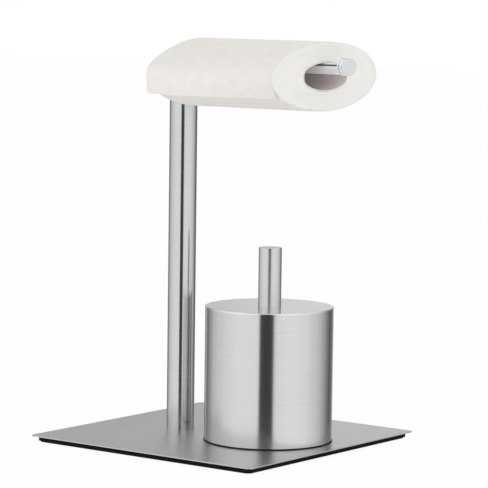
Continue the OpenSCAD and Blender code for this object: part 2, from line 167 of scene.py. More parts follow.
# The tail hangs this far below the roll's widest point, a little more where the corner by the post isn't cut back.
TAIL_LENGTH = 0.019
TAIL_EXTRA = 0.4 * MM
CORNER_CUT = 1.7 * MM
CORNER_SHARE = 0.25
# The tail stands off the roll, leans out, more so at the open end, and waves. Its torn edge is uneven and has
# scallops, which turn through this many radians over the width.
TAIL_GAP = 0.15 * MM
TAIL_LEAN = 2.0 * MM
OPEN_END_LEAN = 9.5 * MM
LEAN_POWER = 1.8
TAIL_WAVE = (0.25 * MM, 25.0)
EDGE_TEAR = (0.35 * MM, 90.0)
EDGE_SCALLOP = 0.12 * MM
SCALLOP_TURN = 210.0

# The brush: rows of tufts on the hub's side and on its round end, and how far they stay inside the solid.
SIDE_ROWS = 11
DOME_ROWS = 4
DOME_START = 0.6
DOME_TURN = math.radians(74)
TUFTS_AROUND = 22
FEWEST_TUFTS = 7
TUFT_TOP_GAP = 2 * MM
TUFT_INSET = 1.2 * MM
BRISTLE_SEED = 5
# A tuft's strands: how many, how thin, how much they taper and bend, how deep they start, how long they are at the
# bottom, and how they scatter sideways, up and down, in their place and in length.
TUFT_STRANDS = 15
STRAND_WIDTH = 0.16 * MM
STRAND_TAPER = 0.25
STRAND_BEND = 1.2 * MM
STRAND_ROOT = 0.3 * MM
END_STRAND_LENGTH = 14 * MM
SCATTER_SIDEWAYS = 0.075
SCATTER_UPWARDS = 0.06
SCATTER_PLACE = 1.2 * MM
SHORTEST_STRAND = 0.94
# A direction that no strand has.
ASKEW = Vector((0.3, 0.2, 1.0))
# The sleeve round the hub: its grid, how far it stands off the hub, and its ridges.
SLEEVE_COLUMNS = 96
SLEEVE_LINES = 44
SLEEVE_DOME_LINES = 12
SLEEVE_DOME_TURN = math.radians(76)
SLEEVE_SKIN = 0.4 * MM
SLEEVE_TOP_GAP = 0.2 * MM
SLEEVE_RIDGE = 0.18 * MM

STEEL = (0.68, 0.685, 0.69)


class Look:
    """The nodes of a material or a world, with short ways to add and join them."""

    def __init__(self, tree):
        self.nodes, self.links = tree.nodes, tree.links
        self.shader = tree.nodes.get("Principled BSDF")

    def add(self, kind, **values):
        """A node with some of its settings and input defaults set."""
        made = self.nodes.new(kind)
        for key, value in values.items():
            if key in made.inputs:
                made.inputs[key].default_value = value
            else:
                setattr(made, key, value)
        return made

    def feed(self, socket, value):
        """Gives a socket another node's output, a plain number or a colour."""
        if isinstance(value, bpy.types.NodeSocket):
            self.links.new(value, socket)
        elif isinstance(value, tuple):
            socket.default_value = (*value, 1)
        else:
            socket.default_value = value

    def coords(self, kind):
        """One of the texture coordinates."""
        return self.add("ShaderNodeTexCoord").outputs[kind]

    def mapped(self, source, scale, offset=(0, 0, 0)):
        """Coordinates scaled and moved."""
        made = self.add("ShaderNodeMapping", Scale=scale, Location=offset)
        self.links.new(source, made.inputs["Vector"])
        return made.outputs["Vector"]

    def split(self, vector):
        """The X, Y and Z of a vector."""
        made = self.add("ShaderNodeSeparateXYZ")
        self.links.new(vector, made.inputs[0])
        return made.outputs

    def noise(self, vector, scale, detail=3.0, rough=0.55):
        """The value of a noise texture read at vector."""
        made = self.add("ShaderNodeTexNoise", Scale=scale, Detail=detail, Roughness=rough)
        self.links.new(vector, made.inputs["Vector"])
        return made.outputs["Fac"]

    def ranged(self, value, result, source=(0.0, 1.0)):
        """A value carried from the source range to the result range, and held at its ends."""
        ends = {"From Min": source[0], "From Max": source[1], "To Min": result[0], "To Max": result[1]}
        made = self.add("ShaderNodeMapRange", **ends)
        self.links.new(value, made.inputs["Value"])
        return made.outputs["Result"]

    def calc(self, operation, a, b=None):
        """The result of a math node on sockets or plain numbers."""
        made = self.add("ShaderNodeMath", operation=operation)
        self.feed(made.inputs[0], a)
        if b is not None:
            self.feed(made.inputs[1], b)
        return made.outputs["Value"]

    def weighted(self, *parts):
        """The sum of values, each times its weight."""
        total = None
        for value, weight in parts:
            part = self.calc("MULTIPLY", value, weight)
            total = part if total is None else self.calc("ADD", total, part)
        return total

    def mix(self, factor, a, b, blend="MIX"):
        """A colour mixed from a and b."""
        made = self.add("ShaderNodeMix", data_type="RGBA", blend_type=blend)
        for socket, value in zip((made.inputs["Factor"], made.inputs[6], made.inputs[7]), (factor, a, b)):
            self.feed(socket, value)
        return made.outputs[2]

    def grey_ramp(self, place, stops, interpolation="LINEAR"):
        """A grey read from a ramp. Each stop is a place from 0 to 1 and the brightness there."""
        made = self.add("ShaderNodeValToRGB")
        made.color_ramp.interpolation = interpolation
        while len(made.color_ramp.elements) < len(stops):
            made.color_ramp.elements.new(0.5)
        for element, (position, level) in zip(made.color_ramp.elements, stops):
            element.position = position
            element.color = (level, level, level, 1)
        self.links.new(place, made.inputs["Fac"])
        return made.outputs["Color"]

    def bump(self, height, strength, distance):
        """Bump from a height value, joined to the shader's normal."""
        made = self.add("ShaderNodeBump", Strength=strength, Distance=distance)
        self.links.new(height, made.inputs["Height"])
        self.links.new(made.outputs["Normal"], self.shader.inputs["Normal"])

    def surface(self, **values):
        """Feeds the shader's inputs, each named in lower case with underscores."""
        for key, value in values.items():
            name = {"colour": "Base Color", "specular": "Specular IOR Level"}.get(key, key.replace("_", " ").title())
            self.feed(self.shader.inputs[name], value)

    def shown(self):
        """1 for a ray that shows or mirrors what it meets, 0 for one that only carries its light."""
        path = self.add("ShaderNodeLightPath").outputs
        mirrored = self.calc("MAXIMUM", path["Is Glossy Ray"], path["Is Transmission Ray"])
        return self.calc("MAXIMUM", path["Is Camera Ray"], mirrored)

    def output(self, shader, kind="Material"):
        """Makes a shader the one that the material or world shows."""
        self.links.new(shader, self.nodes[kind + " Output"].inputs["Surface"])

    def mix_shaders(self, factor, a, b):
        """A shader mixed from a and b."""
        made = self.add("ShaderNodeMixShader")
        for socket, value in zip(made.inputs, (factor, a, b)):
            self.links.new(value, socket)
        return made.outputs["Shader"]


def about(value, swing):
    """The range from a little under a value to a little over it."""
    return value - swing, value + swing


def material(name):
    """A new node material and its nodes."""
    mat = bpy.data.materials.new(name)
    mat.use_nodes = True
    return mat, Look(mat.node_tree)


def brushed(name, colour, rough, marks, axis=None, streak=0.05, aniso=0.6, turn=0.25):
    """Brushed steel, marked "around" a tube, "along" a flat sheet or, as a "disc", in circles round an axis."""
    mat, look = material(name)
    coords = look.coords("Object")
    if marks == "disc":
        from_axis = look.mapped(coords, (1, 1, 0), (-axis[0], -axis[1], 0))
        radius = look.add("ShaderNodeVectorMath", operation="LENGTH")
        look.links.new(from_axis, radius.inputs[0])
        place = look.split(from_axis)
        angle = look.calc("ARCTAN2", place["Y"], place["X"])
        join = look.add("ShaderNodeCombineXYZ")
        look.links.new(look.calc("MULTIPLY", radius.outputs["Value"], TURNED_MARKS[0]), join.inputs["X"])
        look.links.new(look.calc("MULTIPLY", angle, TURNED_MARKS[1]), join.inputs["Y"])
        vector = join.outputs["Vector"]
    else:
        vector = look.mapped(coords, MARKS[marks])
    fine = look.noise(vector, scale=1.0, detail=6.0, rough=0.7)
    cloud = look.noise(coords, scale=9.0, detail=2.0)
    light = tuple(min(1.0, c * (1 + streak)) for c in colour)
    dark = tuple(c * (1 - streak) for c in colour)
    tone = look.ranged(fine, FULL_RANGE, source=NOISE_RANGE)
    wear = look.weighted((fine, 0.10), (cloud, 0.05))
    look.surface(colour=look.mix(tone, dark, light), metallic=1.0, anisotropic=aniso, anisotropic_rotation=turn,
                 roughness=look.ranged(wear, about(rough, BRUSHED_SWING), source=(0.03, 0.12)))
    if marks != "along":
        tangent = look.add("ShaderNodeTangent", direction_type="RADIAL", axis="Z")
        look.surface(tangent=tangent.outputs["Tangent"])
    look.bump(fine, strength=0.12, distance=0.03 * MM)
    return mat


def plating(name, pale, rough):
    """Bright plating with faint wear: the material, its nodes, its tint and its roughness."""
    mat, look = material(name)
    haze = look.noise(look.coords("Object"), scale=60.0, detail=4.0)
    worn = tuple(PLATING_WEAR * c for c in pale)
    return mat, look, look.mix(haze, worn, pale), look.ranged(haze, about(rough, PLATING_SWING))


def arm_chrome():
    """The arm's chrome: pale, a little mirrored, with dark reflections and underside shade painted on by its tilt.
    """
    mat, look, tint, rough = plating("arm_polished_chrome", pale=(0.965, 0.97, 0.98), rough=0.08)
    upward = look.ranged(look.split(look.coords("Normal"))["Z"], FULL_RANGE, source=(-1.0, 1.0))
    # Painted reflection and painted shade: dark stripes coloured in by the surface's tilt, above the side and
    # underneath.
    painted_reflections = look.grey_ramp(upward, [(tilt / 2 + 0.5, level) for tilt, level in ARM_PAINTED_REFLECTION_LINES])
    look.surface(colour=look.mix(1.0, tint, painted_reflections, "MULTIPLY"), roughness=rough, metallic=0.15)
    return mat


def end_stop_chrome(groove_start, groove_end):
    """The end stop's chrome: satin on the faces across the arm, a mirror on the sides, and painted shade in its
    groove.
    """
    mat, look, tint, rough = plating("end_stop_chrome", pale=(0.91, 0.92, 0.935), rough=0.25)
    facing = look.calc("ABSOLUTE", look.split(look.coords("Normal"))["X"])
    flat = look.calc("GREATER_THAN", facing, STOP_FACE)
    along = look.split(look.coords("Object"))["X"]
    # Painted shade: the groove is coloured near black, as if it lay in shadow.
    groove_shade_mask = look.calc("MULTIPLY", look.calc("GREATER_THAN", along, groove_start),
                       look.calc("LESS_THAN", along, groove_end))
    look.surface(colour=look.mix(groove_shade_mask, tint, GROOVE_PAINTED_SHADE), metallic=look.ranged(flat, (1.0, 0.5)),
                 roughness=look.calc("MULTIPLY", rough, look.ranged(flat, (0.3, 1.0))))
    return mat


def grainy(name, dark, light, rough, grains, depth, specular=0.5, metallic=0.0):
    """Plastic, rubber, paint or cast metal with a fine grain, so many grains to the metre and so deep."""
    mat, look = material(name)
    coords = look.coords("Object")
    grain = look.noise(coords, scale=grains, detail=5.0, rough=0.6)
    cloud = look.noise(coords, scale=grains / 40, detail=2.0)
    look.surface(colour=look.mix(cloud, dark, light), specular=specular, metallic=metallic,
                 roughness=look.ranged(grain, about(rough, GRAINY_SWING), source=NOISE_RANGE))
    look.bump(grain, strength=0.35, distance=depth)
    return mat


def paper_side(name):
    """Soft embossed tissue: small quilted dots over fine fibres."""
    mat, look = material(name)
    coords = look.coords("UV")
    dots = look.add("ShaderNodeTexVoronoi", Scale=1.0, Randomness=0.35)
    look.links.new(look.mapped(coords, (260, 300, 1)), dots.inputs["Vector"])
    fibre = look.noise(look.mapped(coords, (900, 1500, 1)), scale=1.0, detail=6.0, rough=0.7)
    cloud = look.noise(look.mapped(coords, (70, 110, 1)), scale=1.0, detail=4.0, rough=0.7)
    tone = look.ranged(cloud, FULL_RANGE, source=NOISE_RANGE)
    look.surface(colour=look.mix(tone, (0.845, 0.81, 0.765), (0.905, 0.87, 0.825)),
                 roughness=look.ranged(fibre, (0.82, 0.97)), specular=0.15, sheen_weight=0.15, sheen_roughness=0.6)
    relief = look.weighted((dots.outputs["Distance"], 1.0), (fibre, 0.5))
    look.bump(relief, strength=0.55, distance=0.45 * MM)
    return mat


def paper_end(name):
    """The wound edge of the roll: hundreds of thin layers. UV's second axis runs from the core to the rim."""
    mat, look = material(name)
    coords = look.coords("UV")
    layers = look.noise(look.mapped(coords, (6, 4200, 1)), scale=1.0, detail=4.0, rough=0.65)
    waves = look.noise(look.mapped(coords, (14, 420, 1)), scale=1.0, detail=3.0, rough=0.6)
    cloud = look.noise(look.mapped(coords, (22, 55, 1)), scale=1.0, detail=2.0)
    tone = look.weighted((layers, 0.45), (waves, 0.28), (cloud, 0.28))
    tone = look.ranged(tone, FULL_RANGE, source=NOISE_RANGE)
    look.surface(colour=look.mix(tone, (0.82, 0.795, 0.745), (0.925, 0.90, 0.85)),
                 roughness=0.95, specular=0.1, sheen_weight=0.2)
    look.bump(look.weighted((layers, 1.0), (waves, 1.5)), strength=0.5, distance=0.3 * MM)
    return mat


def cardboard(name):
    """Grey-brown board with fibres and the slanting seams of its spiral winding."""
    mat, look = material(name)
    coords = look.coords("Object")
    fibre = look.noise(look.mapped(coords, (300, 900, 900)), scale=1.0, detail=5.0, rough=0.7)
    place = look.split(coords)
    turns = look.calc("FRACT", look.weighted((place["X"], SEAM_SLANT[0]), (place["Y"], SEAM_SLANT[1])))
    seam = look.ranged(turns, FULL_RANGE, source=(0.0, SEAM_SHARE))
    look.surface(colour=look.mix(fibre, (0.77, 0.715, 0.695), (0.91, 0.85, 0.83)), roughness=0.92, specular=0.2)
    look.bump(look.weighted((fibre, 0.4), (seam, 1.0)), strength=0.6, distance=0.2 * MM)
    return mat


def mesh_object(name, verts, faces, mat, uvs=None, smooth=True):
    """A mesh object from points and faces, with uvs per face corner where they are given."""
    mesh = bpy.data.meshes.new(name)
    mesh.from_pydata(verts, [], faces)
    if uvs is not None:
        layer = mesh.uv_layers.new(name="UVMap")
        layer.data.foreach_set("uv", [c for face in uvs for corner in face for c in corner])
    mesh.validate()
    mesh.update()
    if smooth:
        mesh.polygons.foreach_set("use_smooth", [True] * len(mesh.polygons))
    made = bpy.data.objects.new(name, mesh)
    bpy.context.scene.collection.objects.link(made)
    made.data.materials.append(mat)
    return made


def grid_faces(rows, columns, closed, flip=False):
    """Faces of a grid of points stored row by row. A closed grid joins its last column to its first."""
    faces = []
    for i in range(rows - 1):
        for j in range(columns if closed else columns - 1):
            k = (j + 1) % columns
            face = (i * columns + j, i * columns + k, (i + 1) * columns + k, (i + 1) * columns + j)
            faces.append(face[::-1] if flip else face)
    return faces


def grid_uvs(faces, columns, closed, place):
    """UVs of a grid's face corners, by row and column. A closed grid's seam counts on past the last column."""
    uvs = []
    for face in faces:
        seam = closed and any(v % columns == columns - 1 for v in face)
        corners = []
        for v in face:
            row, column = divmod(v, columns)
            corners.append(place(row, columns if seam and column == 0 else column))
        uvs.append(corners)
    return uvs


def wobble(x, y, z, scale):
    """A smooth value from -1 to 1 that depends on place."""
    return noise.noise(Vector((x * scale, y * scale, z * scale)))


def rise(relief, x, y, z):
    """How far a relief, which is a depth and a number per metre, rises or falls at a place."""
    depth, scale = relief
    return depth * wobble(x, y, z, scale)


class Oval:
    """The core's outline: a flat oval of four arcs, the same as its solid's, read by distance along it."""

    def __init__(self, width, height):
        a, b = width / 2, height / 2
        self.end_r = CORE_FULLNESS * b ** 2 / a
        self.reach = a - self.end_r
        self.top_r = (self.reach ** 2 + b ** 2 - self.end_r ** 2) / (2 * (b - self.end_r))
        self.drop = self.top_r - b
        self.join = math.atan2(self.reach, self.drop)
        self.top_arc = 2 * self.join * self.top_r
        self.end_arc = (math.pi - 2 * self.join) * self.end_r
        self.length = 2 * (self.top_arc + self.end_arc)

    def point(self, s):
        """The place at distance s from the middle of the near end, over the top."""
        s %= self.length
        top_start = self.end_arc / 2
        far_start = top_start + self.top_arc
        bottom_start = far_start + self.end_arc
        near_start = bottom_start + self.top_arc
        if s < top_start or s > near_start:
            turn = math.pi - (s if s < top_start else s - self.length) / self.end_r
            y, z, radius = -self.reach, 0.0, self.end_r
        elif s < far_start:
            turn = math.pi / 2 + self.join - (s - top_start) / self.top_r
            y, z, radius = 0.0, -self.drop, self.top_r
        elif s < bottom_start:
            turn = math.pi / 2 - self.join - (s - far_start) / self.end_r
            y, z, radius = self.reach, 0.0, self.end_r
        else:
            turn = -math.pi / 2 + self.join - (s - bottom_start) / self.top_r
            y, z, radius = 0.0, self.drop, self.top_r
        return y + radius * math.cos(turn), z + radius * math.sin(turn)


class PressedRound:
    """The roll's outline at one place: a pressed round, fuller or flatter in some quarters, read in the same way."""

    def __init__(self, width, height, fullness):
        self.places = []
        for i in range(OUTLINE_STEPS + 1):
            turn = math.pi * (1 - 2 * i / OUTLINE_STEPS)
            across, up = math.cos(turn), math.sin(turn)
            quarter = (0 if across > 0 else 1) + (0 if up > 0 else 2)
            power = 2 / (2 + fullness[quarter] * math.sqrt(abs(math.sin(2 * turn))))
            self.places.append((math.copysign(abs(across) ** power, across) * width / 2,
                                math.copysign(abs(up) ** power, up) * height / 2))
        self.distances = [0.0]
        for a, b in zip(self.places, self.places[1:]):
            self.distances.append(self.distances[-1] + math.dist(a, b))
        self.length = self.distances[-1]

    def point(self, s):
        """Place and outward normal at distance s, from the middle of the near end, over the top."""
        s %= self.length
        k = min(bisect.bisect_right(self.distances, s), OUTLINE_STEPS)
        (y0, z0), (y1, z1) = self.places[k - 1], self.places[k]
        run = self.distances[k] - self.distances[k - 1]
        t = (s - self.distances[k - 1]) / run
        return (y0 + (y1 - y0) * t, z0 + (z1 - z0) * t), ((z0 - z1) / run, (y1 - y0) / run)


class Roll:
    """The paper roll's place, read from its solid, and its outline, which changes evenly from end to end."""

    def __init__(self):
        low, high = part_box("paper_roll")
        core_low, core_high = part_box("roll_core")
        width, height = high.y - low.y, high.z - low.z
        self.x0, self.x1 = low.x, high.x
        self.middle_z = (core_low.z + core_high.z) / 2
        self.post_end = PressedRound(width, height, POST_END_FULLNESS)
        self.open_end = PressedRound(width, height, OPEN_END_FULLNESS)
        self.length = self.open_end.length
        self.core = Oval(core_high.y - core_low.y + CORE_PLAY, core_high.z - core_low.z + CORE_PLAY)

    def point(self, s, share):
        """Place and outward normal at distance s along the outline, at a share of the way to the open end."""
        (y0, z0), (ny0, nz0) = self.post_end.point(s * self.post_end.length / self.length)
        (y1, z1), (ny1, nz1) = self.open_end.point(s)
        ny, nz = ny0 + (ny1 - ny0) * share, nz0 + (nz1 - nz0) * share
        size = math.hypot(ny, nz)
        return (y0 + (y1 - y0) * share, z0 + (z1 - z0) * share), (ny / size, nz / size)

    def stations(self):
        """Where the side's rings stand along the roll, and how far the soft rims draw them in."""
        rim = []
        for i in range(RIM_STEPS):
            turn = math.pi / 2 * i / RIM_STEPS
            rim.append((self.x0 + RIM_RADIUS * (1 - math.cos(turn)), RIM_RADIUS * (1 - math.sin(turn))))
        level = [(self.x0 + RIM_RADIUS + (self.x1 - self.x0 - 2 * RIM_RADIUS) * i / SIDE_STEPS, 0.0)
                 for i in range(SIDE_STEPS + 1)]
        return rim + level + [(self.x1 + self.x0 - x, drawn_in) for x, drawn_in in reversed(rim)]


def roll_side(roll, mat):
    """The roll's slightly uneven side, and the points of its first and last ring."""
    stations = roll.stations()
    verts = []
    for x, drawn_in in stations:
        for j in range(ROLL_COLUMNS):
            (y, z), (ny, nz) = roll.point(roll.length * j / ROLL_COLUMNS, (x - roll.x0) / (roll.x1 - roll.x0))
            dent = SIDE_INSET + drawn_in
            for depth, scale in SIDE_DENTS:
                dent += depth * (1 + wobble(x, y, z, scale))
            verts.append((x, y - ny * dent, roll.middle_z + z - nz * dent))
    faces = grid_faces(len(stations), ROLL_COLUMNS, True)
    uvs = grid_uvs(faces, ROLL_COLUMNS, True,
                   lambda row, column: (stations[row][0], roll.length * column / ROLL_COLUMNS))
    side = mesh_object("paper_side", verts, faces, mat, uvs)
    return side, verts[:ROLL_COLUMNS], verts[-ROLL_COLUMNS:]


def roll_end(name, roll, mat, rim, x_end, outward):
    """One end of the roll, from its rim to the core, with layers that step in and out."""
    points = []
    for i in range(END_RINGS + 1):
        t = i / END_RINGS
        hollow = END_HOLLOW * math.sin(math.pi * min(1.0, t / HOLLOW_SHARE)) ** 2
        fade = min(1.0, t / LAYER_FADE)
        for j, (_, rim_y, rim_z) in enumerate(rim):
            core_y, core_z = roll.core.point(roll.core.length * j / ROLL_COLUMNS)
            y = rim_y + (core_y - rim_y) * t
            z = rim_z + (roll.middle_z + core_z - rim_z) * t
            step = LAYER_STEP * (1 + wobble(t * LAYER_WAVES, y * LAYER_TURNS, z * LAYER_TURNS, 1.0))
            points.append((x_end - outward * (step + hollow) * fade, y, z))
    faces = grid_faces(END_RINGS + 1, ROLL_COLUMNS, True, flip=outward > 0)
    uvs = grid_uvs(faces, ROLL_COLUMNS, True,
                   lambda row, column: (roll.length * column / ROLL_COLUMNS, END_DEPTH * (1 - row / END_RINGS)))
    return mesh_object(name, points, faces, mat, uvs)


def free_sheet(roll, mat):
    """The last sheet: it lies on the roll from the far side over the top, then hangs free from the widest point."""
    lap = roll.length * SHEET_LAP
    width = roll.x1 - roll.x0
    points = []
    for i in range(SHEET_ROWS + 1):
        for j in range(SHEET_COLUMNS + 1):
            u = j / SHEET_COLUMNS
            hang = TAIL_LENGTH + TAIL_EXTRA - CORNER_CUT * max(0.0, 1 - u / CORNER_SHARE) ** 2
            s = lap - (lap + hang) * i / SHEET_ROWS
            x = roll.x0 + SHEET_MARGIN + (width - 2 * SHEET_MARGIN) * u
            if s >= 0:
                (y, z), (ny, nz) = roll.point(s, u)
                lift = SHEET_RISE * min(1.0, (lap - s) / (lap * RISE_SHARE)) - SHEET_SUNK
                lift += rise(SHEET_RIPPLE, x, y, z)
                over_rim = max(0.0, 1 - (1 - u) / RIM_SHARE) ** 2
                lift -= RIM_BEND * over_rim * min(1.0, s / TAIL_CLEAR)
                y, z = y + ny * lift, z + nz * lift
            else:
                t = -s / hang
                (y, z), _ = roll.point(0.0, u)
                lean = TAIL_LEAN + OPEN_END_LEAN * u * u
                y += TAIL_GAP + lean * t ** LEAN_POWER + rise(TAIL_WAVE, x, 0.1, 0.2) * t
                z += s
                if i == SHEET_ROWS:
                    z += EDGE_SCALLOP * (1 + math.sin(u * SCALLOP_TURN)) + rise(EDGE_TEAR, x, 0.3, 0.7)
            points.append((x, y, roll.middle_z + z))
    faces = grid_faces(SHEET_ROWS + 1, SHEET_COLUMNS + 1, False, flip=True)
    uvs = grid_uvs(faces, SHEET_COLUMNS + 1, False,
                   lambda row, column: (roll.x0 + width * column / SHEET_COLUMNS,
                                        lap - (lap + TAIL_LENGTH) * row / SHEET_ROWS))
    made = mesh_object("paper_free_sheet", points, faces, mat, uvs)
    solid = made.modifiers.new("thickness", "SOLIDIFY")
    solid.thickness = SHEET_THICKNESS
    solid.offset = -1.0
    return made


def axis_of(node):
    """Where the upright axis of a round node stands, as x and y."""
    low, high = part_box(node)
    return (low.x + high.x) / 2, (low.y + high.y) / 2


def hub_shape():
    """The radius of the brush hub, and the height at which its round end starts."""
    low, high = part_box("brush_hub")
    radius = (high.x - low.x) / 2
    return radius, low.z + radius


class Strands:
    """The points and faces of a brush's strands, each a thin bent bar of square section."""

    def __init__(self, rng):
        self.rng = rng
        self.verts, self.faces = [], []

    def grow(self, root, direction, length):
        """Adds one strand, which bends a little to a random side."""
        start = len(self.verts)
        side = direction.cross(ASKEW).normalized()
        up = direction.cross(side)
        bend = (side * self.rng.uniform(-1, 1) + up * self.rng.uniform(-1, 1)) * STRAND_BEND
        for t in (0.0, 0.5, 1.0):
            width = STRAND_WIDTH * (1 - STRAND_TAPER * t)
            middle = root + direction * (length * t) + bend * (t * t)
            for a, b in ((1, 1), (-1, 1), (-1, -1), (1, -1)):
                self.verts.append(middle + side * (a * width) + up * (b * width))
        for row in (start, start + 4):
            for c in range(4):
                d = (c + 1) % 4
                self.faces.append((row + c, row + d, row + 4 + d, row + 4 + c))
        self.faces.append((start + 3, start + 2, start + 1, start))
        self.faces.append((start + 8, start + 9, start + 10, start + 11))


def bristle_tufts(mat):
    """Fine strands in tufts round the brush hub: level at its side, turning under it at its round end."""
    low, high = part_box("bristles")
    centre_x, centre_y = axis_of("bristles")
    hub_r, dome_z = hub_shape()
    top_z = high.z - TUFT_TOP_GAP
    side_length = (high.x - low.x) / 2 - hub_r - TUFT_INSET
    rng = random.Random(BRISTLE_SEED)
    strands = Strands(rng)
    for row in range(SIDE_ROWS + DOME_ROWS):
        if row < SIDE_ROWS:
            turn, count = 0.0, TUFTS_AROUND
            z = top_z - (top_z - dome_z) * row / SIDE_ROWS
        else:
            turn = DOME_TURN * (row - SIDE_ROWS + DOME_START) / DOME_ROWS
            count = max(FEWEST_TUFTS, round(TUFTS_AROUND * math.cos(turn)))
            z = dome_z
        length = side_length - (side_length - END_STRAND_LENGTH) * math.sin(turn)
        for k in range(count):
            angle = 2 * math.pi * (k + 0.5 * (row % 2)) / count
            for _ in range(TUFT_STRANDS):
                a = angle + rng.uniform(-SCATTER_SIDEWAYS, SCATTER_SIDEWAYS)
                t = turn + rng.uniform(-SCATTER_UPWARDS, SCATTER_UPWARDS)
                out = Vector((math.cos(a) * math.cos(t), math.sin(a) * math.cos(t), -math.sin(t)))
                foot = Vector((centre_x, centre_y, z + rng.uniform(-SCATTER_PLACE, SCATTER_PLACE)))
                root = foot + out * (hub_r - STRAND_ROOT)
                strands.grow(root, out, length * rng.uniform(SHORTEST_STRAND, 1.0) + 2 * STRAND_ROOT)
    return mesh_object("bristle_tufts", strands.verts, strands.faces, mat, smooth=False)


def bristle_sleeve(mat):
    """The moulded sleeve that the tufts stand in: a round skin over the hub, with fine ridges on its side."""
    centre_x, centre_y = axis_of("bristles")
    hub_r, dome_z = hub_shape()
    skin = hub_r + SLEEVE_SKIN
    top_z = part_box("bristles")[1].z - SLEEVE_TOP_GAP
    profile = [(skin + SLEEVE_RIDGE * (i % 2), top_z - (top_z - dome_z) * i / SLEEVE_LINES)
               for i in range(SLEEVE_LINES + 1)]
    for i in range(1, SLEEVE_DOME_LINES + 1):
        turn = SLEEVE_DOME_TURN * i / SLEEVE_DOME_LINES
        profile.append((skin * math.cos(turn), dome_z - skin * math.sin(turn)))
    verts = []
    for radius, z in profile:
        for j in range(SLEEVE_COLUMNS):
            turn = 2 * math.pi * j / SLEEVE_COLUMNS
            verts.append((centre_x + radius * math.cos(turn), centre_y + radius * math.sin(turn), z))
    return mesh_object("bristle_sleeve", verts, grid_faces(len(profile), SLEEVE_COLUMNS, True, flip=True), mat)


def dress_nodes(frame):
    """Gives every CAD node that isn't replaced its finish."""
    brush_axis, post_axis = axis_of("lid_disc"), axis_of("post_tube")
    arm_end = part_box("arm_bar")[1].x
    zinc = grainy("turned_zinc", (0.42, 0.42, 0.43), (0.50, 0.50, 0.51), rough=0.42,
                  grains=900, depth=0.05 * MM, metallic=1.0)
    screw = grainy("dark_screw_steel", (0.20, 0.20, 0.21), (0.27, 0.27, 0.28), rough=0.38,
                   grains=1200, depth=0.04 * MM, metallic=1.0)
    looks = {
        "base_plate": brushed("plate_brushed_steel", (0.65, 0.65, 0.65), rough=0.33, marks="along",
                              streak=0.10, aniso=0.3, turn=0.0),
        "base_weight": grainy("black_powder_coat", (0.004, 0.004, 0.005), (0.008, 0.008, 0.009), rough=0.65,
                              grains=2400, depth=0.12 * MM, specular=0.1),
        "anti_slip_mat": grainy("mat_rubber", (0.020, 0.020, 0.021), (0.034, 0.034, 0.034), rough=0.85,
                                grains=1500, depth=0.25 * MM),
        "post_tube": brushed("post_brushed_steel", (0.65, 0.655, 0.66), rough=0.16, marks="around", aniso=0.8),
        "post_foot_plug": zinc,
        "post_bolt": screw,
        "post_head_plug": zinc,
        "arm_grub_screw": screw,
        "post_cap": brushed("post_cap_turned_steel", STEEL, rough=0.28, marks="disc", axis=post_axis),
        "arm_bar": arm_chrome(),
        "arm_end_stop": end_stop_chrome(*(arm_end + distance for distance in STOP_GROOVE)),
        "roll_core": cardboard("core_board"),
        "canister_shell": brushed("canister_brushed_steel", STEEL, rough=0.15, marks="around", aniso=0.8),
        "canister_base": grainy("foot_ring_plastic", (0.004, 0.004, 0.004), (0.008, 0.008, 0.008), rough=0.60,
                                grains=1800, depth=0.08 * MM, specular=0.2),
        "liner_cup": grainy("cup_plastic", (0.035, 0.036, 0.039), (0.050, 0.051, 0.055), rough=0.48,
                            grains=1100, depth=0.12 * MM),
        "lid_disc": brushed("lid_turned_steel", (0.84, 0.85, 0.885), rough=0.21, marks="disc", axis=brush_axis,
                            aniso=0.3),
        "lid_seat": grainy("lid_seat_plastic", (0.014, 0.014, 0.015), (0.024, 0.024, 0.025), rough=0.45,
                           grains=1500, depth=0.10 * MM),
        "grip_tube": brushed("grip_brushed_steel", (0.70, 0.70, 0.70), rough=0.34, marks="around", aniso=0.7),
        "grip_end_cap": brushed("grip_cap_turned_steel", STEEL, rough=0.28, marks="disc", axis=brush_axis),
        "grip_plug": zinc,
        "brush_stem": grainy("stem_plastic", (0.74, 0.74, 0.73), (0.80, 0.80, 0.79), rough=0.35,
                             grains=700, depth=0.06 * MM),
        "brush_hub": grainy("hub_plastic", (0.76, 0.76, 0.75), (0.82, 0.82, 0.81), rough=0.38,
                            grains=800, depth=0.08 * MM),
    }
    for name, mat in looks.items():
        data = frame["nodes"][name].data
        data.materials.clear()
        data.materials.append(mat)


def studio_floor():
    """A pale floor that is nearly white where it is seen."""
    mat, look = material("studio_floor")
    grain = look.noise(look.coords("Object"), scale=35.0, detail=4.0)
    look.surface(colour=look.mix(grain, (0.90, 0.90, 0.90), (0.93, 0.93, 0.93)), roughness=0.9, specular=0.1)
    white = look.add("ShaderNodeEmission", Color=WHITE, Strength=1.0)
    share = look.calc("MULTIPLY", look.shown(), FLOOR_WHITE_SHARE)
    look.output(look.mix_shaders(share, look.shader.outputs["BSDF"], white.outputs["Emission"]))
    corners = [(x * FLOOR_REACH, y * FLOOR_REACH, 0) for x, y in ((-1, -1), (1, -1), (1, 1), (-1, 1))]
    floor = mesh_object("floor", corners, [(0, 1, 2, 3)], mat, smooth=False)
    floor.location.z = -FLOOR_DROP
    floor.visible_glossy = False


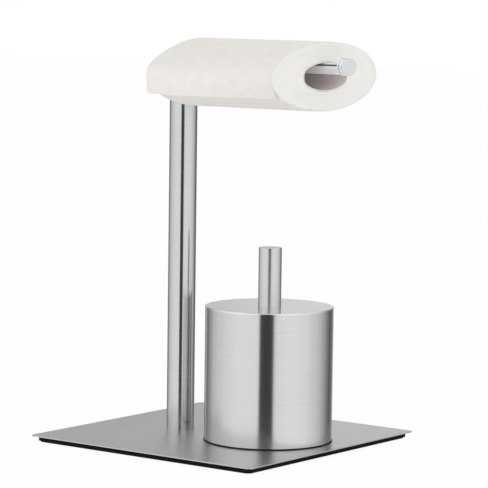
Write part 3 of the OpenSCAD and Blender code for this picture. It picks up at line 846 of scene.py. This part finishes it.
def studio_cards():
    """A ring of pale and dark cards that only shows in the metal."""
    mat, look = material("studio_cards")
    place = look.split(look.coords("Object"))
    angle = look.calc("ARCTAN2", place["Y"], place["X"])
    share = look.calc("ADD", look.calc("DIVIDE", angle, 2 * math.pi), 0.5)
    grey = look.grey_ramp(share, [(degrees / 360 + 0.5, level) for degrees, level in CARD_STOPS], "EASE")
    glow = look.add("ShaderNodeEmission", Strength=1.0)
    look.links.new(grey, glow.inputs["Color"])
    look.output(glow.outputs["Emission"])
    verts = []
    for z in CARD_HEIGHTS:
        for j in range(CARD_COLUMNS):
            turn = 2 * math.pi * j / CARD_COLUMNS
            verts.append((CARD_RADIUS * math.cos(turn), CARD_RADIUS * math.sin(turn), z))
    faces = grid_faces(len(CARD_HEIGHTS), CARD_COLUMNS, True, flip=True)
    cards = mesh_object("studio_card_ring", verts, faces, mat)
    cards.rotation_euler.z = CAMERA_AZIMUTH - math.pi / 2
    cards.visible_camera = False
    cards.visible_diffuse = False
    cards.visible_shadow = False
    cards.visible_transmission = False


def world():
    """White where it is seen or mirrored, and a soft grey light elsewhere."""
    made = bpy.data.worlds.new("studio")
    bpy.context.scene.world = made
    made.use_nodes = True
    look = Look(made.node_tree)
    seen = look.nodes["Background"]
    seen.inputs["Color"].default_value = WHITE
    seen.inputs["Strength"].default_value = 1.0
    lit = look.add("ShaderNodeBackground", Color=AMBIENT_COLOUR, Strength=AMBIENT_STRENGTH)
    blend = look.mix_shaders(look.shown(), lit.outputs["Background"], seen.outputs["Background"])
    look.output(blend, "World")


def lamp(name, place, aim, size, power):
    """A soft square lamp that isn't mirrored in the metal."""
    data = bpy.data.lights.new(name, "AREA")
    data.shape = "SQUARE"
    data.size = size
    data.energy = power
    made = bpy.data.objects.new(name, data)
    made.location = place
    made.rotation_euler = (Vector(aim) - Vector(place)).to_track_quat("-Z", "Y").to_euler()
    made.visible_glossy = False
    bpy.context.scene.collection.objects.link(made)


def camera():
    """The camera at the photograph's angle, looking a little down and tilted a little sideways."""
    side = Vector((math.cos(CAMERA_AZIMUTH), math.sin(CAMERA_AZIMUTH), 0))
    away = Vector((math.sin(CAMERA_AZIMUTH) * math.cos(CAMERA_PITCH),
                   -math.cos(CAMERA_AZIMUTH) * math.cos(CAMERA_PITCH), math.sin(CAMERA_PITCH)))
    centre = Vector((0, 0, CAMERA_AIM_Z))
    eye = centre + away * CAMERA_DISTANCE
    back = (eye - centre - side * CAMERA_AIM_SIDE).normalized()
    right = Vector((0, 0, 1)).cross(back).normalized()
    up = back.cross(right)
    turned_right = right * math.cos(CAMERA_ROLL) + up * math.sin(CAMERA_ROLL)
    turned_up = up * math.cos(CAMERA_ROLL) - right * math.sin(CAMERA_ROLL)
    data = bpy.data.cameras.new("camera")
    data.lens = CAMERA_LENS
    data.sensor_width = SENSOR_WIDTH
    data.clip_end = CAMERA_CLIP_END
    made = bpy.data.objects.new("camera", data)
    made.matrix_world = Matrix((
        (turned_right.x, turned_up.x, back.x, eye.x),
        (turned_right.y, turned_up.y, back.y, eye.y),
        (turned_right.z, turned_up.z, back.z, eye.z),
        (0, 0, 0, 1),
    ))
    bpy.context.scene.collection.objects.link(made)
    bpy.context.scene.camera = made


def main():
    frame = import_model()
    bpy.context.scene.view_settings.view_transform = "Standard"
    camera()
    world()
    for values in LAMPS:
        lamp(*values)
    studio_floor()
    studio_cards()
    dress_nodes(frame)

    roll = Roll()
    tissue = paper_side("tissue_side")
    wound = paper_end("tissue_wound_end")
    side, post_rim, open_rim = roll_side(roll, tissue)
    ends = [roll_end("paper_end_far", roll, wound, post_rim, roll.x0, -1),
            roll_end("paper_end_near", roll, wound, open_rim, roll.x1, 1)]
    loose = free_sheet(roll, tissue)
    for piece in (side, *ends, loose):
        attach(piece, "roll")
    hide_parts("paper_roll")

    nylon = grainy("bristle_nylon", (0.80, 0.80, 0.79), (0.88, 0.88, 0.87), rough=0.40,
                   grains=500, depth=0.03 * MM)
    moulded = grainy("sleeve_plastic", (0.76, 0.76, 0.75), (0.82, 0.82, 0.81), rough=0.38,
                     grains=800, depth=0.08 * MM)
    strands = bristle_tufts(nylon)
    sleeve = bristle_sleeve(moulded)
    for piece in (strands, sleeve):
        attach(piece, "brush")
    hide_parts("bristles")


main()
